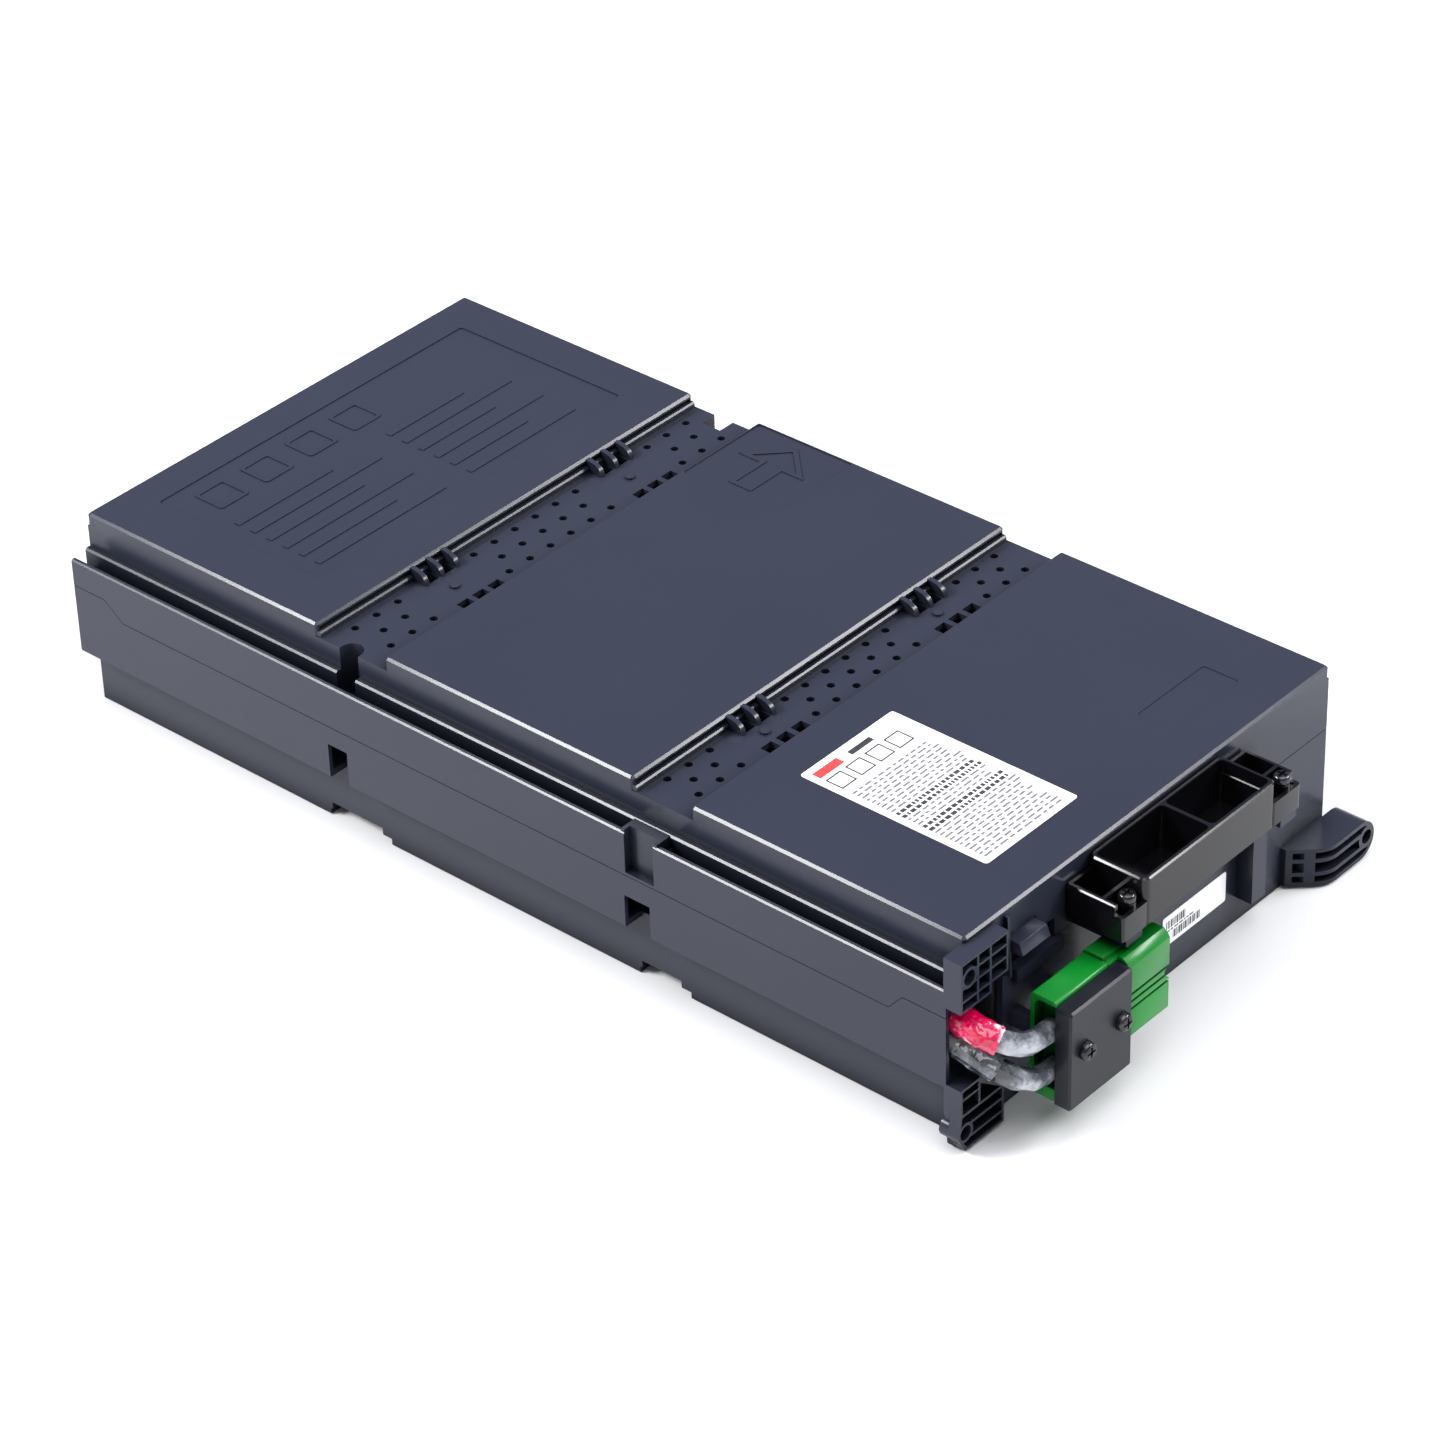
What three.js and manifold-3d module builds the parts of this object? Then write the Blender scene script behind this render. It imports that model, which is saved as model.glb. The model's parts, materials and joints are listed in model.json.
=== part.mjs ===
// Two-unit rack battery cartridge: six sealed 12 V blocks in a moulded case, with a grip trough,
// mounting lugs and a two-pole power connector on the front end.
// Millimetres. +X right, +Y to the rear, +Z up. The origin is on the underside, in the middle of
// the middle section.
import * as THREE from 'three';
import { mergeVertices } from 'three/addons/utils/BufferGeometryUtils.js';
import Module from 'manifold-3d';

const wasm = await Module();
wasm.setup();

// ---- driving dimensions ---------------------------------------------------------------------
const panelWidth = 208;         // raised top panels, side to side
const railWidth = 10;           // guide rail on the left, outside the panels
const bodyLength = 424;
const bodyHeight = 83.5;
const frontSection = 121;       // section lengths and the two vent channels between them
const frontChannel = 26.6;
const middleSection = 120.5;
const rearChannel = 34;
const wall = 2.5;
const clear = 0.3;              // gap between pieces that rest on each other

const half = panelWidth / 2;
const top = bodyHeight;
const front = -(frontSection + frontChannel + middleSection / 2);
const rear = front + bodyLength;
const channels = [
  { y0: front + frontSection, y1: front + frontSection + frontChannel, pitch: 7.3, lead: 4.4 },
  { y0: middleSection / 2, y1: middleSection / 2 + rearChannel, pitch: 9.1, lead: 6.6 },
];
const channelDepth = 5.6;
const channelFloor = top - channelDepth;
const railLeft = -half - railWidth;
const railTop = top - 16;
const railWall = 1.8;
const grooveFloor = railTop - 8.9;
const ledgeTop = top - 14.7;
const bandBottom = top - 57.6;
const partingMiddle = top - 34.5;
const partingEnds = top - 27.5;

// ---- materials ------------------------------------------------------------------------------
function finish(color, roughness, metalness = 0) {
  return new THREE.MeshStandardMaterial({ color, roughness, metalness });
}
const finishes = {
  case: () => finish(0x34353d, 0.38),
  dark: () => finish(0x121214, 0.32),
  block: () => finish(0x26282b, 0.6),
  green: () => finish(0x128a24, 0.4),
  brass: () => finish(0xb9a05a, 0.35, 0.9),
  steel: () => finish(0x202124, 0.3, 0.8),
  redSleeve: () => finish(0xd8283c, 0.5),
  greyLead: () => finish(0x9aa0a8, 0.35),
  blackWire: () => finish(0x1a1a1c, 0.5),
  label: () => finish(0xf1f2f2, 0.5),
};

// ---- solids ---------------------------------------------------------------------------------
// Corners are kept to a micrometre, so that faces meant to be flush are exactly flush.
function solid(geometry) {
  const bare = geometry.clone();
  bare.deleteAttribute('normal');
  bare.deleteAttribute('uv');
  const corners = bare.attributes.position;
  corners.array.set(corners.array.map((value) => Math.round(value * 1000) / 1000));
  const merged = mergeVertices(bare, 1e-4);
  return new wasm.Manifold(new wasm.Mesh({
    numProp: 3,
    vertProperties: new Float32Array(merged.attributes.position.array),
    triVerts: new Uint32Array(merged.index.array),
  }));
}

function box(x0, x1, y0, y1, z0, z1) {
  const shape = new THREE.BoxGeometry(x1 - x0, y1 - y0, z1 - z0);
  return solid(shape.translate((x0 + x1) / 2, (y0 + y1) / 2, (z0 + z1) / 2));
}

function extrude(shape, depth, curveSegments) {
  return new THREE.ExtrudeGeometry(shape, { depth, bevelEnabled: false, curveSegments });
}

function outline(points) {
  return new THREE.Shape(points.map(([a, b]) => new THREE.Vector2(a, b)));
}

// The three prisms take an outline in the plane across their axis: (x, y), (x, z) or (y, z).
function prismZ(shape, z0, z1, segments = 4) {
  return solid(extrude(shape, z1 - z0, segments).translate(0, 0, z0));
}

function prismY(shape, y0, y1, segments = 4) {
  return solid(extrude(shape, y1 - y0, segments).rotateX(Math.PI / 2).translate(0, y1, 0));
}

function prismX(shape, x0, x1, segments = 4) {
  const turn = new THREE.Matrix4().set(0, 0, 1, x0, 1, 0, 0, 0, 0, 1, 0, 0, 0, 0, 0, 1);
  return solid(extrude(shape, x1 - x0, segments).applyMatrix4(turn));
}

// A prism along Z with both end edges cut at 45 degrees.
function chamferedZ(shape, z0, z1, edge, segments = 4) {
  const prism = new THREE.ExtrudeGeometry(shape, {
    depth: z1 - z0 - 2 * edge,
    bevelEnabled: true,
    bevelThickness: edge,
    bevelSize: edge,
    bevelOffset: -edge,
    bevelSegments: 1,
    curveSegments: segments,
  });
  return solid(prism.translate(0, 0, z0 + edge));
}

// The same along Y, for an outline in (x, z): cut at the front end only.
function chamferedFront(shape, y0, y1, edge, segments = 4) {
  const turned = chamferedZ(shape, y0 - 2 * y1, -y0, edge, segments).rotate([90, 0, 0]);
  return turned.subtract(box(-500, 500, y1, y1 + 500, -500, 500));
}

// Cuts an edge that runs along Y at 45 degrees; the corner points toward (sideX, sideZ).
function edgeCut(x, z, sideX, sideZ, size) {
  const past = 1;
  const corner = outline([
    [x - sideX * (size + past), z + sideZ * past], [x + sideX * past, z - sideZ * (size + past)],
    [x + sideX * past, z + sideZ * past],
  ]);
  return prismY(corner, front - beyond, rear + beyond);
}

function rounded(x0, x1, y0, y1, r) {
  const s = new THREE.Shape();
  s.moveTo(x0 + r, y0);
  s.lineTo(x1 - r, y0);
  s.absarc(x1 - r, y0 + r, r, -Math.PI / 2, 0);
  s.lineTo(x1, y1 - r);
  s.absarc(x1 - r, y1 - r, r, 0, Math.PI / 2);
  s.lineTo(x0 + r, y1);
  s.absarc(x0 + r, y1 - r, r, Math.PI / 2, Math.PI);
  s.lineTo(x0, y0 + r);
  s.absarc(x0 + r, y0 + r, r, Math.PI, 1.5 * Math.PI);
  return s;
}

function rodZ(x, y, z0, z1, radius, sides = 16) {
  const rod = new THREE.CylinderGeometry(radius, radius, z1 - z0, sides);
  return solid(rod.rotateX(Math.PI / 2).translate(x, y, (z0 + z1) / 2));
}

function rodY(x, z, y0, y1, radius, sides = 16) {
  const rod = new THREE.CylinderGeometry(radius, radius, y1 - y0, sides);
  return solid(rod.translate(x, (y0 + y1) / 2, z));
}

function join(parts) {
  return parts.reduce((sum, part) => sum.add(part));
}

function cut(body, tools) {
  return tools.reduce((rest, tool) => rest.subtract(tool), body);
}

// A cable: a regular section, optionally hollow, swept along a smooth curve.
function swept(points, radius, steps, sides, bore = 0) {
  const path = new THREE.CatmullRomCurve3(points.map((p) => new THREE.Vector3(...p)));
  const ring = (r) => {
    const corners = [];
    for (let i = 0; i < sides; i += 1) {
      const angle = (2 * Math.PI * i) / sides;
      corners.push(new THREE.Vector2(r * Math.cos(angle), r * Math.sin(angle)));
    }
    return corners;
  };
  const section = new THREE.Shape(ring(radius));
  if (bore > 0) section.holes.push(new THREE.Path(ring(bore)));
  return solid(new THREE.ExtrudeGeometry(section, { steps, extrudePath: path, bevelEnabled: false }));
}

const cartridge = new THREE.Group();

function add(name, body, material) {
  const mesh = body.getMesh();
  const geometry = new THREE.BufferGeometry();
  geometry.setAttribute('position', new THREE.BufferAttribute(new Float32Array(mesh.vertProperties), 3));
  geometry.setIndex(new THREE.BufferAttribute(new Uint32Array(mesh.triVerts), 1));
  const piece = new THREE.Mesh(geometry, material());
  piece.name = name;
  cartridge.add(piece);
}

// ---- case -----------------------------------------------------------------------------------
const beyond = 50;              // how far cutting tools run past the case

const panelEdge = 0.9;

// Raised section of the case, from the channel level up.
function panelBlock(y0, y1) {
  return chamferedZ(rounded(-half, half, y0, y1, 1.5), channelFloor - wall, top, panelEdge, 3);
}

const underRecess = 5.5;        // the underside steps up below each vent channel
const footStep = 2.5;
const lowerLeft = -half - 1.4;

function outerForm() {
  const panels = [
    panelBlock(front, channels[0].y0),
    panelBlock(channels[0].y1, channels[1].y0),
    panelBlock(channels[1].y1, rear),
  ];
  const core = box(-half, half, front, rear, bandBottom, channelFloor);
  const rail = box(railLeft, -half + 1, front, rear, bandBottom, railTop);
  const ledge = box(-half - 2.6, -half + 1, front, rear, grooveFloor - 1, ledgeTop);
  const lower = box(lowerLeft, half, front, rear, 0, bandBottom + 1);
  const body = join([...panels, core, rail, ledge, lower]);
  const recesses = channels.flatMap(({ y0, y1 }) => [
    box(-half - beyond, half + beyond, y0 + 6, y1 - 2, -1, underRecess),
    box(-half - beyond, half + beyond, y0 + 1.5, y1 - 1, -1, footStep),
  ]);
  const edges = [
    edgeCut(railLeft, railTop, -1, 1, 0.6), edgeCut(railLeft, bandBottom, -1, -1, 0.5),
    edgeCut(-half - 2.6, ledgeTop, -1, 1, 0.7),
  ];
  return cut(body, [...recesses, ...edges]);
}

// The inside of the case: one space over the full length, dropping under the channels' floors.
function innerForm() {
  const inside = half - wall;
  const rooms = [
    [front + wall, channels[0].y0 - wall],
    [channels[0].y1 + wall, channels[1].y0 - wall],
    [channels[1].y1 + wall, rear - wall],
  ].map(([y0, y1]) => box(-inside, inside, y0, y1, wall, top - wall));
  const through = box(-inside, inside, front + wall, rear - wall, underRecess + wall, channelFloor - wall);
  const alley = box(railLeft + railWall, -inside + 1, front + wall, rear - wall,
    bandBottom + wall, grooveFloor - railWall);
  return join([...rooms, through, alley]);
}

// Everything above the parting line, which steps up near both ends of the case.
function aboveParting(gap) {
  const far = 500;
  const line = outline([
    [front - far, partingEnds + gap], [front + 18.7, partingEnds + gap],
    [front + 24.8, partingMiddle + gap], [rear - 26, partingMiddle + gap],
    [rear - 16.5, partingEnds + gap], [rear + far, partingEnds + gap],
    [rear + far, top + far], [front - far, top + far],
  ]);
  return prismX(line, -far, far);
}

// Vent holes: three staggered rows in each channel, in a centre group and two end groups.
const ventRadius = 1.65;
const ventPitch = 11.3;
function vents({ y1, pitch, lead }) {
  const groups = [{ centre: -79.8, count: 3 }, { centre: 0.5, count: 6 }, { centre: 81, count: 3 }];
  const holes = [];
  for (const { centre, count } of groups) {
    for (let row = 0; row < 3; row += 1) {
      const inRow = row === 1 ? count - 1 : count;
      for (let i = 0; i < inRow; i += 1) {
        const x = centre + ventPitch * (i - (inRow - 1) / 2);
        const y = y1 - lead - pitch * row;
        holes.push(rodZ(x, y, channelFloor - wall - 1, channelFloor + 1, ventRadius, 8));
      }
    }
  }
  return holes;
}

// Fin clusters on each channel's rear wall, with slots across from them, and a boss between.
const clusterCentres = [-45.5, 51.5];
const finPitch = 8.2;
const finThickness = 2;
const finReach = 8;

function finSection(y1) {
  const s = new THREE.Shape();
  s.moveTo(y1 + 1, channelFloor - 1);
  s.lineTo(y1 + 1, top - 0.6);
  s.lineTo(y1 - 1.5, top - 0.6);
  s.quadraticCurveTo(y1 - finReach, top - 1.2, y1 - finReach, channelFloor - 1);
  return s;
}

function clusterFins({ y1 }) {
  return clusterCentres.flatMap((centre) => [-1, 0, 1].map((i) => {
    const x = centre + finPitch * i;
    return prismX(finSection(y1), x - finThickness / 2, x + finThickness / 2, 4);
  }));
}

function clusterSlots({ y0, y1 }) {
  const slot = (x, halfWide, near, far) => (
    box(x - halfWide, x + halfWide, near, far, channelFloor - wall - 1, channelFloor + 1)
  );
  return clusterCentres.flatMap((centre) => [
    ...[-1, 0, 1].map((i) => slot(centre + finPitch * i, 2.9, y0 + 1.6, y0 + 9)),
    ...[-0.5, 0.5].map((i) => slot(centre + finPitch * i, 2.6, y1 - 7.4, y1 - 1.8)),
  ]);
}

function clusterBosses({ y0, y1 }) {
  const bossY = (y0 + y1) / 2 + 0.8;
  return clusterCentres.map((x) => rodZ(x - 2.5, bossY, channelFloor - 1, channelFloor + 0.8, 1.8, 12));
}

// The wall that closes the rear of each channel: a bead along its top, a groove, and a lip below.
const lipTop = channelFloor + 2.3;
function channelLip({ y1 }) {
  const section = outline([
    [y1 - 1.4, channelFloor - 1], [y1 - 1.4, lipTop - 0.6], [y1 - 0.8, lipTop],
    [y1 + 1, lipTop], [y1 + 1, channelFloor - 1],
  ]);
  return prismX(section, -half + 0.4, half - 0.4);
}

function channelGroove({ y1 }) {
  return box(-half + 1.5, half - 1.5, y1 - 0.2, y1 + 1.2, lipTop + 0.1, top - 1.7);
}

// Key slots at both ends of the rear channel, which a chassis latch drops into.
function keySlots() {
  const y = channels[1].y1 - 15.9;
  const left = join([
    box(-half - 2.7, -half + 1.6, y - 4.7, y + 4.7, ledgeTop - 12, top + 1),
    rodZ(-half + 1.6, y, ledgeTop - 12, top + 1, 4.7, 16),
  ]);
  const right = box(half - 7.6, half + 1, y - 4.7, y + 4.7, channelFloor - 16, top + 1);
  return [left, right];
}

// Lining under each key slot, so that the case stays shut behind it.
function keySlotLinings() {
  const y = channels[1].y1 - 15.9;
  return [
    box(-half + 0.5, -half + 8.8, y - 7.2, y + 7.2, ledgeTop - 14.5, channelFloor - 1),
    box(half - 10.1, half - 0.5, y - 7.2, y + 7.2, channelFloor - 18.5, channelFloor - 1),
  ];
}

// A block that closes the rail's groove at one place, seen through a notch in the rail's wall.
const notch = { y0: front + 130.4, y1: front + 143.8, depth: 3.4, z0: top - 33.2 };
const notchBlock = () => box(railLeft + 0.4, -half - 0.4, notch.y0 - 1.6, notch.y1 + 1.6,
  notch.z0 - 1, ledgeTop - 0.3);
const railNotch = () => box(railLeft - 1, railLeft + notch.depth, notch.y0, notch.y1,
  notch.z0, ledgeTop + 1);

const railGroove = () => box(railLeft + railWall, -half - 2.6, front - 1, rear + 1, grooveFloor, top);

// Upper front lug on the left: an open lattice block with a screw eye.
const eyeRadius = 2.9;
const lug = { y0: front - 6.5, left: railLeft, rib: 1 };

function lattice(bars, y0, y1) {
  return join(bars.map(([x0, x1, z0, z1]) => box(x0, x1, y0, y1, z0, z1)));
}

function upperLug() {
  const t = lug.rib;
  const x0 = lug.left;
  const [xa, xb, x1] = [x0 + 9.7, x0 + 15.4, x0 + 25.4];
  const zTop = top - 2.2;
  const [za, zb, zc, z0] = [top - 7, top - 12.2, top - 17.8, top - 23];
  const back = join([
    box(x0, xb + t, front - 2.4, front + 1, z0, zTop),
    box(xb, x1, front - 2.4, front + 1, zc - t, zTop),
  ]);
  const bars = lattice([
    [x0, x1, zTop - t, zTop], [x0, x1, za - t, za], [x0, x1, zb - t, zb], [x0, x1, zc - t, zc],
    [x0, xb + t, z0, z0 + t], [x0, x0 + t, z0, zTop], [xa - t, xa, z0, zTop], [xb, xb + t, z0, zTop],
    [x1 - t, x1, zc - t, zTop],
  ], lug.y0, front - 2);
  const eye = rodY(x0 + 4.7, top - 9.7, lug.y0, front - 2, eyeRadius + 1.3);
  const bore = rodY(x0 + 4.7, top - 9.7, lug.y0 - 1, front + beyond / 2, eyeRadius);
  return { body: join([back, bars, eye]), bore };
}

// Grip sizes that the cover's pads under its ends need too.
const gripBounds = { left: -half + 54.2, right: half - 51.4, y0: front - 25 };
const trough = { left: -half + 66.5, right: half - 66 };
const gripBottom = top - 22.5;
const gripScrewX = [(gripBounds.left + trough.left) / 2 + 2.3, (trough.right + gripBounds.right) / 2 + 2.3];
const gripScrewY = front - 20.2;
const gripScrewTop = top - 7.2;

function gripPads() {
  return gripScrewX.map((x) => {
    const pad = box(x - 4.5, x + 4.5, front - 23.6, front + 1, gripBottom - 4.3, gripBottom - clear);
    return pad.subtract(rodZ(x, gripScrewY, gripBottom - 6, gripBottom, 1.6, 12));
  });
}

// Opening in the front wall for the snap tab, and ribs under the top that hold the blocks down.
const tab = { x0: -half + 22.7, x1: -half + 37.7, z0: top - 20.6, z1: top - 12.6, thick: 2 };
const tabSlot = 0.7;

function tabWindow() {
  const [y0, y1] = [front - 1, front + wall + 1];
  return join([
    box(tab.x0 - tabSlot, tab.x1 + tabSlot, y0, y1, partingEnds - 3, tab.z1 + clear),
    box(tab.x0 - tabSlot, tab.x1 + 11.4, y0, y1, partingEnds - 3, top - 19.4),
  ]);
}

// A thin upright fin between the upper lug and the snap tab, deeper toward its foot.
function tabFin() {
  const side = outline([
    [front + 0.5, top - 2.4], [front - 1.7, top - 2.6],
    [front - 3, partingEnds + 0.3], [front + 0.5, partingEnds + 0.3],
  ]);
  return prismX(side, tab.x0 - tabSlot - 1.1, tab.x0 - tabSlot);
}

const blockHeight = 70;
const blockFloor = 6;
const blockTop = blockFloor + blockHeight;

function holdDownRibs(rows) {
  return rows.flatMap(({ y0, y1 }) => [-60, -10, 40, 85].map((x) => (
    box(x, x + 2, y0 + 20, y1 - 20, blockTop + clear, top - wall + 0.5)
  )));
}

// ---- batteries, laid out before the case needs them --------------------------------------------
const blockWide = 90;
const blockLong = 101;
const columnRight = half - wall - 0.5 - blockWide;
const columns = [
  { side: 'left', x0: columnRight - 0.5 - blockWide },
  { side: 'right', x0: columnRight },
];
// Terminals face the nearest channel: facing +1 is toward the rear.
const rows = [
  { section: 'front', y0: front + 7, y1: front + 7 + blockLong, facing: 1 },
  { section: 'middle', y0: channels[1].y0 - 7 - blockLong, y1: channels[1].y0 - 7, facing: -1 },
  { section: 'rear', y0: rear - 7 - blockLong, y1: rear - 7, facing: -1 },
];

const cableOpening = () => box(railLeft + railWall, tab.x0 - 2.2, front - 8, front + wall + 1,
  top - 54.5, top - 24);

// Marks moulded into the top: shallow fields with plain bars, frames and an arrow standing in them.
const markDepth = 0.4;

function field(x0, x1, y0, y1, depth) {
  return prismZ(rounded(x0, x1, y0, y1, 1.5), top - depth, top + 1, 3);
}

function raised(shape, hole) {
  const [z0, z1] = [top - markDepth - 0.2, top - 0.05];
  const body = prismZ(shape, z0, z1, 3);
  return hole ? body.subtract(prismZ(hole, z0 - 1, z1 + 1, 3)) : body;
}

// A plain arrow toward +X, its outline moved inward by a margin.
function arrow(margin) {
  const [tail, neck, shaft] = [64 + margin, 82 + margin, 5.5 - margin];
  const tip = 98 - margin * Math.SQRT2;
  const spread = tip - neck;
  const y = channels[1].y0 - 24.8;
  return outline([
    [tail, y - shaft], [neck, y - shaft], [neck, y - spread], [tip, y],
    [neck, y + spread], [neck, y + shaft], [tail, y + shaft],
  ]);
}

function frames() {
  return [0, 1, 2, 3].map((i) => {
    const [x, y, size, line] = [-70 + 24 * i, 178, 15, 1.3];
    return raised(rounded(x, x + size, y, y + size, 1.5),
      rounded(x + line, x + size - line, y + line, y + size - line, 1));
  });
}

function bars() {
  return [0, 1, 2, 3, 4, 5].flatMap((row) => [-74, 8].map((x) => {
    const y = 122 + 8.5 * row;
    const length = 68 - 9 * ((row * 2 + (x > 0 ? 1 : 0)) % 4);
    return raised(outline([[x, y], [x + length, y], [x + length, y + 2.6], [x, y + 2.6]]));
  }));
}

const markFields = () => [
  field(-half + 22.4, half - 19, 115, 200, markDepth),
  field(half - 46, half - 1.5, 12, channels[1].y0 - 1.5, markDepth),
  field(half - 68, half - 28.3, front + 18.8, front + 34.8, 0.25),
];

function topCover() {
  const shell = cut(outerForm().subtract(innerForm()).intersect(aboveParting(clear / 2)),
    [...markFields(), ...channels.map(channelGroove), railGroove()]);
  const { body: lugBody, bore } = upperLug();
  const rough = join([
    shell, lugBody,
    ...channels.flatMap((c) => [channelLip(c), ...clusterFins(c), ...clusterBosses(c)]),
    tabFin(), ...keySlotLinings(), ...gripPads(), ...holdDownRibs(rows), notchBlock(),
    raised(arrow(0), arrow(2)), ...frames(), ...bars(),
  ]);
  const tools = [
    tabWindow(), cableOpening(), railNotch(), ...keySlots(), bore,
    ...channels.flatMap((c) => [...vents(c), ...clusterSlots(c)]),
  ];
  return cut(rough, tools);
}

// ---- bottom tray ------------------------------------------------------------------------------
// Lower front lug on the left: ribs, a sloping brace and a screw eye.
const eyeLow = { z: top - 74.8, x: 111.3 };

function lowerLug() {
  const t = 1.1;
  const x0 = railLeft;
  const y0 = front - 6.4;
  const [xa, x1] = [x0 + 10.7, x0 + 23.5];
  const [zTop, zBrace, zr1, zr2] = [top - 55.5, top - 66.3, top - 71.5, top - 77];
  const brace = prismY(outline([
    [xa - t, zTop], [xa, zTop], [x1, zBrace], [x1, zBrace - t - 0.4], [xa - t, zTop - t - 0.6],
  ]), y0, front - 2);
  const back = prismY(outline([
    [x0, zTop], [xa, zTop], [x1, zBrace], [x1, 1], [x0 + 2, 1], [x0, zBrace],
  ]), front - 2.4, front + 1);
  const bars = lattice([
    [x0, xa, zTop - t, zTop], [x0, x0 + t, zBrace, zTop], [xa - t, xa, zBrace, zTop],
    [x0, xa, zTop - 5, zTop - 5 + t * 0.8], [x0, x1, zBrace - t, zBrace], [x0 + 4, x1, zr1 - t, zr1],
    [x0 + 4, x1, zr2 - t, zr2], [x0 + 2.6, x1, 1, 1 + t], [x1 - t, x1, 1, zBrace],
  ], y0, front - 2);
  const eye = rodY(-eyeLow.x, eyeLow.z, y0, front + 2, eyeRadius + 1.2);
  const flank = prismY(outline([
    [x0, zBrace], [x0 + t, zBrace], [-eyeLow.x - 2.6, eyeLow.z + 2], [-eyeLow.x - 3.9, eyeLow.z + 1],
  ]), y0, front - 2);
  const toe = prismY(outline([
    [-eyeLow.x - 3.9, eyeLow.z - 1], [-eyeLow.x - 2.4, eyeLow.z - 2.6], [x0 + 3.6, 2.1], [x0 + 2.4, 1],
  ]), y0, front - 2);
  const bore = rodY(-eyeLow.x, eyeLow.z, y0 - 1, front + beyond / 2, eyeRadius);
  return { body: join([back, bars, brace, eye, flank, toe]), bore };
}

// Front arm on the right: a flat arm that sweeps forward and out to a round tip with a screw eye,
// hollowed from the front between two ribs.
const arm = { x0: half - 25.6, x1: half + 13, y: front - 14.2, z0: top - 82.6, z1: top - 66.2 };
const armRadius = (arm.z1 - arm.z0) / 2;
const armEye = { x: half + 8.3, z: top - 73.8, ring: 4.8 };

function armPlan() {
  const s = new THREE.Shape();
  s.moveTo(arm.x0, front + 1);
  s.lineTo(arm.x0, front - 2.3);
  s.lineTo(arm.x0 + 7.4, arm.y + 3.8);
  s.quadraticCurveTo(arm.x0 + 11.2, arm.y, arm.x0 + 15.5, arm.y);
  s.lineTo(arm.x1 + 1, arm.y);
  s.lineTo(arm.x1 + 1, front - 0.2);
  s.lineTo(half - 1, front - 0.2);
  s.lineTo(half - 1, front + 1);
  return s;
}

// The arm seen from the front, shrunk by a margin all round.
function armFront(margin) {
  const r = armRadius - margin;
  const s = new THREE.Shape();
  const centre = arm.x1 - armRadius;
  s.moveTo(arm.x0 + margin, arm.z0 + margin);
  s.lineTo(centre, arm.z0 + margin);
  s.absarc(centre, arm.z0 + armRadius, r, -Math.PI / 2, Math.PI / 2);
  s.lineTo(arm.x0 + margin, arm.z1 - margin);
  return s;
}

function rightArm() {
  const [yFront, yBack] = [arm.y - 1, front + 1];
  const skin = 1.7;
  const plan = prismZ(armPlan(), arm.z0 - 1, arm.z1 + 1, 5);
  const blank = plan.intersect(prismY(armFront(0), yFront, yBack, 8));
  const pocket = prismY(armFront(skin), yFront, front - 2.4, 8);
  const ribs = [arm.z1 - 5.3, arm.z1 - 11.2].map((z) => (
    box(arm.x0, armEye.x, yFront, yBack, z - skin / 2, z + skin / 2)
  ));
  const post = box(arm.x0 + 4.6, arm.x0 + 7.3, yFront, yBack, arm.z0, arm.z1);
  const ring = rodY(armEye.x, armEye.z, yFront, yBack, armEye.ring);
  const skeleton = join([...ribs, post, ring]).intersect(blank);
  const bore = rodY(armEye.x, armEye.z, yFront, front + 20, eyeRadius);
  return { body: join([blank.subtract(pocket), skeleton]), bore };
}

// Bosses that carry the connector, and a guide column beside the barcode label.
const plateScrews = [-half + 27.6, -half + 47.9];
const plateScrewZ = top - 48.6;
const connectorBack = front - 12;

function connectorBosses() {
  return plateScrews.map((x) => (
    rodY(x, plateScrewZ, connectorBack + clear, front + 1, 4, 12)
      .subtract(rodY(x, plateScrewZ, connectorBack - 1, front - 2, 1.8, 12))
  ));
}

// A raised strip on the tray's front wall, just under the snap tab's opening.
const frontStrip = () => box(-half + 26.1, -half + 51.8, front - 2, front + 1,
  top - 33.2, partingEnds - clear / 2);

const guideColumn = () => box(half - 52.3, half - 44.3, front - 6.7, front + 1,
  top - 73, partingEnds - clear);

// Snap windows along the lower edge of the rail.
function railWindows() {
  return [
    box(railLeft - 1, -half - 1.8, front + 280.9, front + 290.6, bandBottom - 1, top - 42.6),
    box(railLeft - 1, -half - 1.8, front + 132.9, front + 144.8, bandBottom - 1, top - 43.5),
  ];
}

function seatRibs() {
  return rows.flatMap(({ y0, y1 }) => [-70, -30, 30, 70].map((x) => (
    box(x, x + 2, y0 + 4, y1 - 4, wall - 0.5, blockFloor - clear)
  )));
}

function bottomTray() {
  const shell = outerForm().subtract(innerForm()).subtract(aboveParting(-clear / 2));
  const low = lowerLug();
  const right = rightArm();
  const parts = [
    shell, low.body, right.body, guideColumn(), frontStrip(), ...connectorBosses(), ...seatRibs(),
  ];
  return cut(join(parts), [cableOpening(), low.bore, right.bore, ...railWindows()]);
}

add('top_cover', topCover(), finishes.case);
add('bottom_tray', bottomTray(), finishes.case);

// ---- snap tab ---------------------------------------------------------------------------------
// A tongue of the cover's front wall that bends about its upper edge, with a catch on its face.
function snapTab() {
  const catchTop = tab.z1 - 0.3;
  const wedge = outline([
    [front + 0.5, catchTop], [front - 5.4, catchTop], [front - 7.1, top - 17.2],
    [front - 6.4, top - 17.8], [front + 0.5, top - 18.2],
  ]);
  return join([
    box(tab.x0, tab.x1, front, front + tab.thick, tab.z0, tab.z1),
    prismX(wedge, tab.x0, tab.x1),
  ]);
}
add('snap_tab', snapTab(), finishes.case);

// ---- battery blocks ---------------------------------------------------------------------------
const terminal = { wide: 6.35, thick: 0.8, long: 5.5, offset: 33, z: blockFloor + 52 };

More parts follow.
